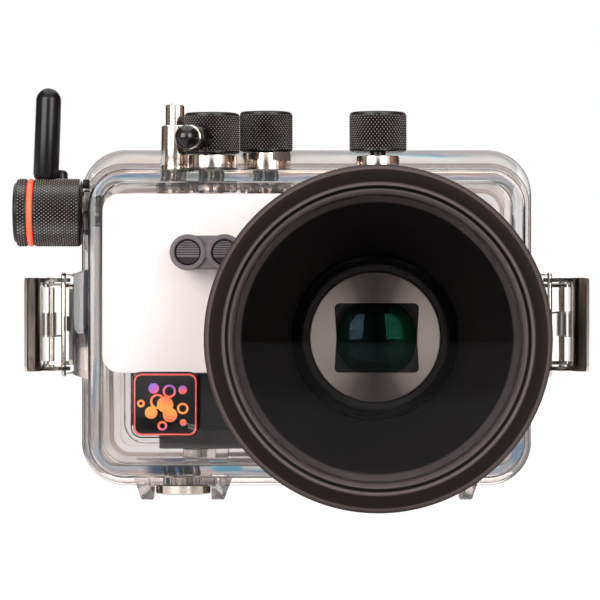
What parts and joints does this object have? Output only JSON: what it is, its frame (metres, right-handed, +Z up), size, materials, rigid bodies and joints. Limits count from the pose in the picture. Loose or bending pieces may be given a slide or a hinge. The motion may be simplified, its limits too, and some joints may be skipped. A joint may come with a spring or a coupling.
{
  "type": "underwater camera housing",
  "caption": "Clear watertight case for a compact camera, with a big black flat lens port, roof knobs, a shutter lever and side latches.",
  "frame": {"origin": "middle of the underside of the bounding box; the housing stands on the foot of the port and on the four lugs", "axes": "+X to the viewer's right when looking into the port, +Y away from the viewer towards the lid, +Z up; the port looks along -Y"},
  "size_m": [0.187, 0.1084, 0.1354],
  "materials": {
    "clear_polycarbonate": "clear moulded polycarbonate, polished",
    "port_black": "fine satin black, moulded and turned",
    "port_glass": "flat optical glass",
    "seal_rubber": "greased silicone rubber",
    "black_plastic": "satin moulded nylon",
    "grey_plastic": "dark grey ABS, as moulded",
    "white_diffuser": "opal white acrylic",
    "badge_gloss": null,
    "stainless_steel": "polished stainless steel",
    "black_anodised": "black anodised, diamond knurled",
    "red_ring": "orange red band",
    "camera_skin": "satin black paint",
    "lens_glass": "coated lens glass"
  },
  "bodies": {
    "case": {"front_shell": "clear_polycarbonate", "port_body": "port_black", "port_front_ring": "port_black", "port_glass": "port_glass", "port_glass_seal": "seal_rubber", "port_seal": "seal_rubber", "port_nut": "black_plastic", "fiber_block": "grey_plastic", "fiber_plug_left": "grey_plastic", "fiber_plug_right": "grey_plastic", "flash_diffuser": "white_diffuser", "badge_plate": "badge_gloss", "power_gland": "stainless_steel", "zoom_gland": "stainless_steel", "mode_gland": "stainless_steel", "ring_gland": "stainless_steel", "shutter_gland": "stainless_steel", "tray_insert_left": "stainless_steel", "tray_insert_right": "stainless_steel", "camera_tray": "grey_plastic", "camera_screw": "stainless_steel", "camera_body": "camera_skin", "latch_base_left": "stainless_steel", "latch_pin_left": "stainless_steel", "latch_base_right": "stainless_steel", "latch_pin_right": "stainless_steel", "power_spring": "stainless_steel"},
    "lens": {"lens_barrel": "camera_skin", "lens_element": "lens_glass"},
    "lid": {"rear_lid": "clear_polycarbonate", "lid_seal": "seal_rubber"},
    "button_set": {"rear_button_set": "black_plastic"},
    "button_left": {"rear_button_left": "black_plastic"},
    "button_right": {"rear_button_right": "black_plastic"},
    "button_up": {"rear_button_up": "black_plastic"},
    "button_down": {"rear_button_down": "black_plastic"},
    "power": {"power_button": "stainless_steel"},
    "zoom": {"zoom_knob": "black_anodised", "zoom_lever": "black_plastic", "zoom_shaft": "stainless_steel"},
    "mode": {"mode_knob": "black_anodised", "mode_shaft": "stainless_steel"},
    "ring": {"ring_knob": "black_anodised", "ring_shaft": "stainless_steel"},
    "shutter": {"shutter_drum": "black_anodised", "shutter_ring": "red_ring", "shutter_lever": "black_plastic", "shutter_shaft": "stainless_steel"},
    "latch_left": {"latch_lever_left": "stainless_steel", "latch_spring_left": "stainless_steel"},
    "latch_right": {"latch_lever_right": "stainless_steel", "latch_spring_right": "stainless_steel"},
    "bail_left": {"latch_bail_left": "stainless_steel"},
    "bail_right": {"latch_bail_right": "stainless_steel"}
  },
  "joints": [
    {"name": "lid_slide", "type": "slide", "parent": "case", "child": "lid", "axis": [0, 1, 0], "range_m": [0, 0.02]},
    {"name": "latch_left_turn", "type": "hinge", "parent": "case", "child": "latch_left", "pos_m": [-0.08251, 0.02075, 0.058], "axis": [0, 0, 1], "range_deg": [-100, 0]},
    {"name": "bail_left_turn", "type": "hinge", "parent": "latch_left", "child": "bail_left", "pos_m": [-0.07811, 0.01475, 0.058], "axis": [0, 0, 1], "range_deg": [0, 190]},
    {"name": "latch_right_turn", "type": "hinge", "parent": "case", "child": "latch_right", "pos_m": [0.08669, 0.02075, 0.058], "axis": [0, 0, 1], "range_deg": [0, 100]},
    {"name": "bail_right_turn", "type": "hinge", "parent": "latch_right", "child": "bail_right", "pos_m": [0.08229, 0.01475, 0.058], "axis": [0, 0, 1], "range_deg": [-190, 0]},
    {"name": "lens_zoom", "type": "slide", "parent": "case", "child": "lens", "axis": [0, -1, 0], "range_m": [0, 0.026]},
    {"name": "power_press", "type": "slide", "parent": "case", "child": "power", "axis": [0, 0, -1], "range_m": [0, 0.003], "stiffness_N_per_m": 500, "springref_m": -0.003, "deforming": ["power_spring"]},
    {"name": "zoom_turn", "type": "hinge", "parent": "case", "child": "zoom", "pos_m": [-0.02901, 0.00875, 0.12], "axis": [0, 0, 1], "range_deg": [-25, 25], "stiffness_Nm_per_rad": 0.03},
    {"name": "mode_turn", "type": "hinge", "parent": "case", "child": "mode", "pos_m": [-0.01141, 0.02625, 0.12], "axis": [0, 0, 1], "continuous": true},
    {"name": "ring_turn", "type": "hinge", "parent": "case", "child": "ring", "pos_m": [0.02534, 0.00335, 0.12], "axis": [0, 0, 1], "continuous": true},
    {"name": "shutter_press", "type": "hinge", "parent": "case", "child": "shutter", "pos_m": [-0.08331, 0.00675, 0.0946], "axis": [1, 0, 0], "range_deg": [-15, 0], "stiffness_Nm_per_rad": 0.4, "springref_deg": 8.59},
    {"name": "button_set_press", "type": "slide", "parent": "lid", "child": "button_set", "axis": [0, -1, 0], "range_m": [0, 0.0025], "stiffness_N_per_m": 400, "springref_m": -0.002},
    {"name": "button_left_press", "type": "slide", "parent": "lid", "child": "button_left", "axis": [0, -1, 0], "range_m": [0, 0.0025], "stiffness_N_per_m": 400, "springref_m": -0.002},
    {"name": "button_right_press", "type": "slide", "parent": "lid", "child": "button_right", "axis": [0, -1, 0], "range_m": [0, 0.0025], "stiffness_N_per_m": 400, "springref_m": -0.002},
    {"name": "button_up_press", "type": "slide", "parent": "lid", "child": "button_up", "axis": [0, -1, 0], "range_m": [0, 0.0025], "stiffness_N_per_m": 400, "springref_m": -0.002},
    {"name": "button_down_press", "type": "slide", "parent": "lid", "child": "button_down", "axis": [0, -1, 0], "range_m": [0, 0.0025], "stiffness_N_per_m": 400, "springref_m": -0.002}
  ],
  "couplings": [
    {"joint": "latch_left_turn", "follows": "lid_slide", "rad_per_m": -87.2},
    {"joint": "latch_right_turn", "follows": "lid_slide", "rad_per_m": 87.2},
    {"joint": "bail_left_turn", "follows": "lid_slide", "rad_per_m": 165.8},
    {"joint": "bail_right_turn", "follows": "lid_slide", "rad_per_m": -165.8}
  ]
}
